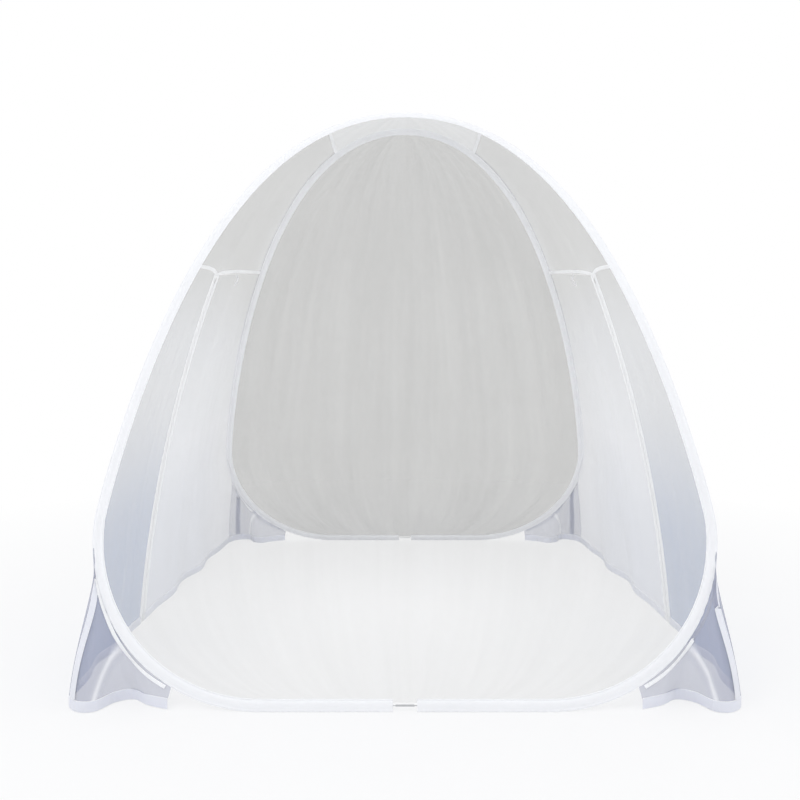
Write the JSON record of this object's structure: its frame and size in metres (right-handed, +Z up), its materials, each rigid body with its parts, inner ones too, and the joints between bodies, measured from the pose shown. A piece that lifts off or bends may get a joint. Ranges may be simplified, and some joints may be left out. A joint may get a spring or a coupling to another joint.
{
  "type": "mosquito net tent",
  "caption": "Pop-up mosquito net tent for a wide bed: leaning spring hoops in cloth sleeves, net ends and sides, zipped side doors and corner skirts.",
  "frame": {"origin": "on the floor under the middle of the tent", "axes": "+X to the right seen from the foot end, +Y from the foot end to the head end, +Z up"},
  "size_m": [1.8858, 2.017, 1.8791],
  "materials": {
    "net_cloth": "fine white polyester net, see-through",
    "sleeve_cloth": "plain white woven polyester, folded and stitched",
    "roof_cloth": "close white polyester cloth, nearly opaque",
    "tape_cloth": "white woven binding and zip tape",
    "spring_steel": "bare drawn spring wire",
    "white_enamel": "white baked enamel on die-cast zinc"
  },
  "bodies": {
    "rear_hoop": {"rear_hoop_wire": "spring_steel", "rear_hoop_ferrule": "spring_steel", "rear_hoop_sleeve": "sleeve_cloth", "rear_net": "net_cloth", "rear_left_corner_skirt": "net_cloth", "rear_left_corner_hem": "tape_cloth", "rear_right_corner_skirt": "net_cloth", "rear_right_corner_hem": "tape_cloth", "roof_panel": "roof_cloth", "left_upper_net": "net_cloth", "left_cross_tape": "tape_cloth", "left_door_tie": "tape_cloth", "left_front_door_net": "net_cloth", "left_rear_door_net": "net_cloth", "left_front_hem": "tape_cloth", "left_rear_hem": "tape_cloth", "right_upper_net": "net_cloth", "right_cross_tape": "tape_cloth", "right_door_tie": "tape_cloth", "right_front_door_net": "net_cloth", "right_rear_door_net": "net_cloth", "right_front_hem": "tape_cloth", "right_rear_hem": "tape_cloth"},
    "front_hoop": {"front_hoop_wire": "spring_steel", "front_hoop_ferrule": "spring_steel", "front_hoop_sleeve": "sleeve_cloth", "front_net": "net_cloth", "front_left_corner_skirt": "net_cloth", "front_left_corner_hem": "tape_cloth", "front_right_corner_skirt": "net_cloth", "front_right_corner_hem": "tape_cloth"},
    "door_zips": {"left_zip_front_tape": "tape_cloth", "left_zip_rear_tape": "tape_cloth", "left_zip_top_stop": "white_enamel", "left_zip_foot_stop": "white_enamel", "right_zip_front_tape": "tape_cloth", "right_zip_rear_tape": "tape_cloth", "right_zip_top_stop": "white_enamel", "right_zip_foot_stop": "white_enamel"},
    "left_slider": {"left_zip_slider": "white_enamel"},
    "right_slider": {"right_zip_slider": "white_enamel"},
    "left_pull": {"left_zip_pull": "white_enamel"},
    "right_pull": {"right_zip_pull": "white_enamel"}
  },
  "joints": [
    {"name": "front_hoop_fold", "type": "hinge", "parent": "rear_hoop", "child": "front_hoop", "pos_m": [0, -0.1, 1.866], "axis": [1, 0, 0], "range_deg": [0, 45], "deforming": ["roof_panel", "left_upper_net", "left_cross_tape", "left_door_tie", "left_front_door_net", "left_rear_door_net", "left_front_hem", "left_rear_hem", "right_upper_net", "right_cross_tape", "right_door_tie", "right_front_door_net", "right_rear_door_net", "right_front_hem", "right_rear_hem"]},
    {"name": "door_zips_fold", "type": "hinge", "parent": "rear_hoop", "child": "door_zips", "pos_m": [0, -0.1, 1.866], "axis": [1, 0, 0], "range_deg": [0, 31.5]},
    {"name": "right_slider_travel", "type": "hinge", "parent": "door_zips", "child": "right_slider", "pos_m": [-3.39316, -0.3, -0.28898], "axis": [0, 1, 0], "range_deg": [0, 16]},
    {"name": "left_slider_travel", "type": "hinge", "parent": "door_zips", "child": "left_slider", "pos_m": [3.39316, -0.3, -0.28898], "axis": [0, -1, 0], "range_deg": [0, 16]},
    {"name": "right_pull_swing", "type": "hinge", "parent": "right_slider", "child": "right_pull", "pos_m": [0.67787, -0.3, 1.21259], "axis": [0, -1, 0], "range_deg": [0, 150]},
    {"name": "left_pull_swing", "type": "hinge", "parent": "left_slider", "child": "left_pull", "pos_m": [-0.67787, -0.3, 1.21259], "axis": [0, 1, 0], "range_deg": [0, 150]}
  ],
  "couplings": [
    {"joint": "door_zips_fold", "follows": "front_hoop_fold", "ratio": 0.7}
  ]
}
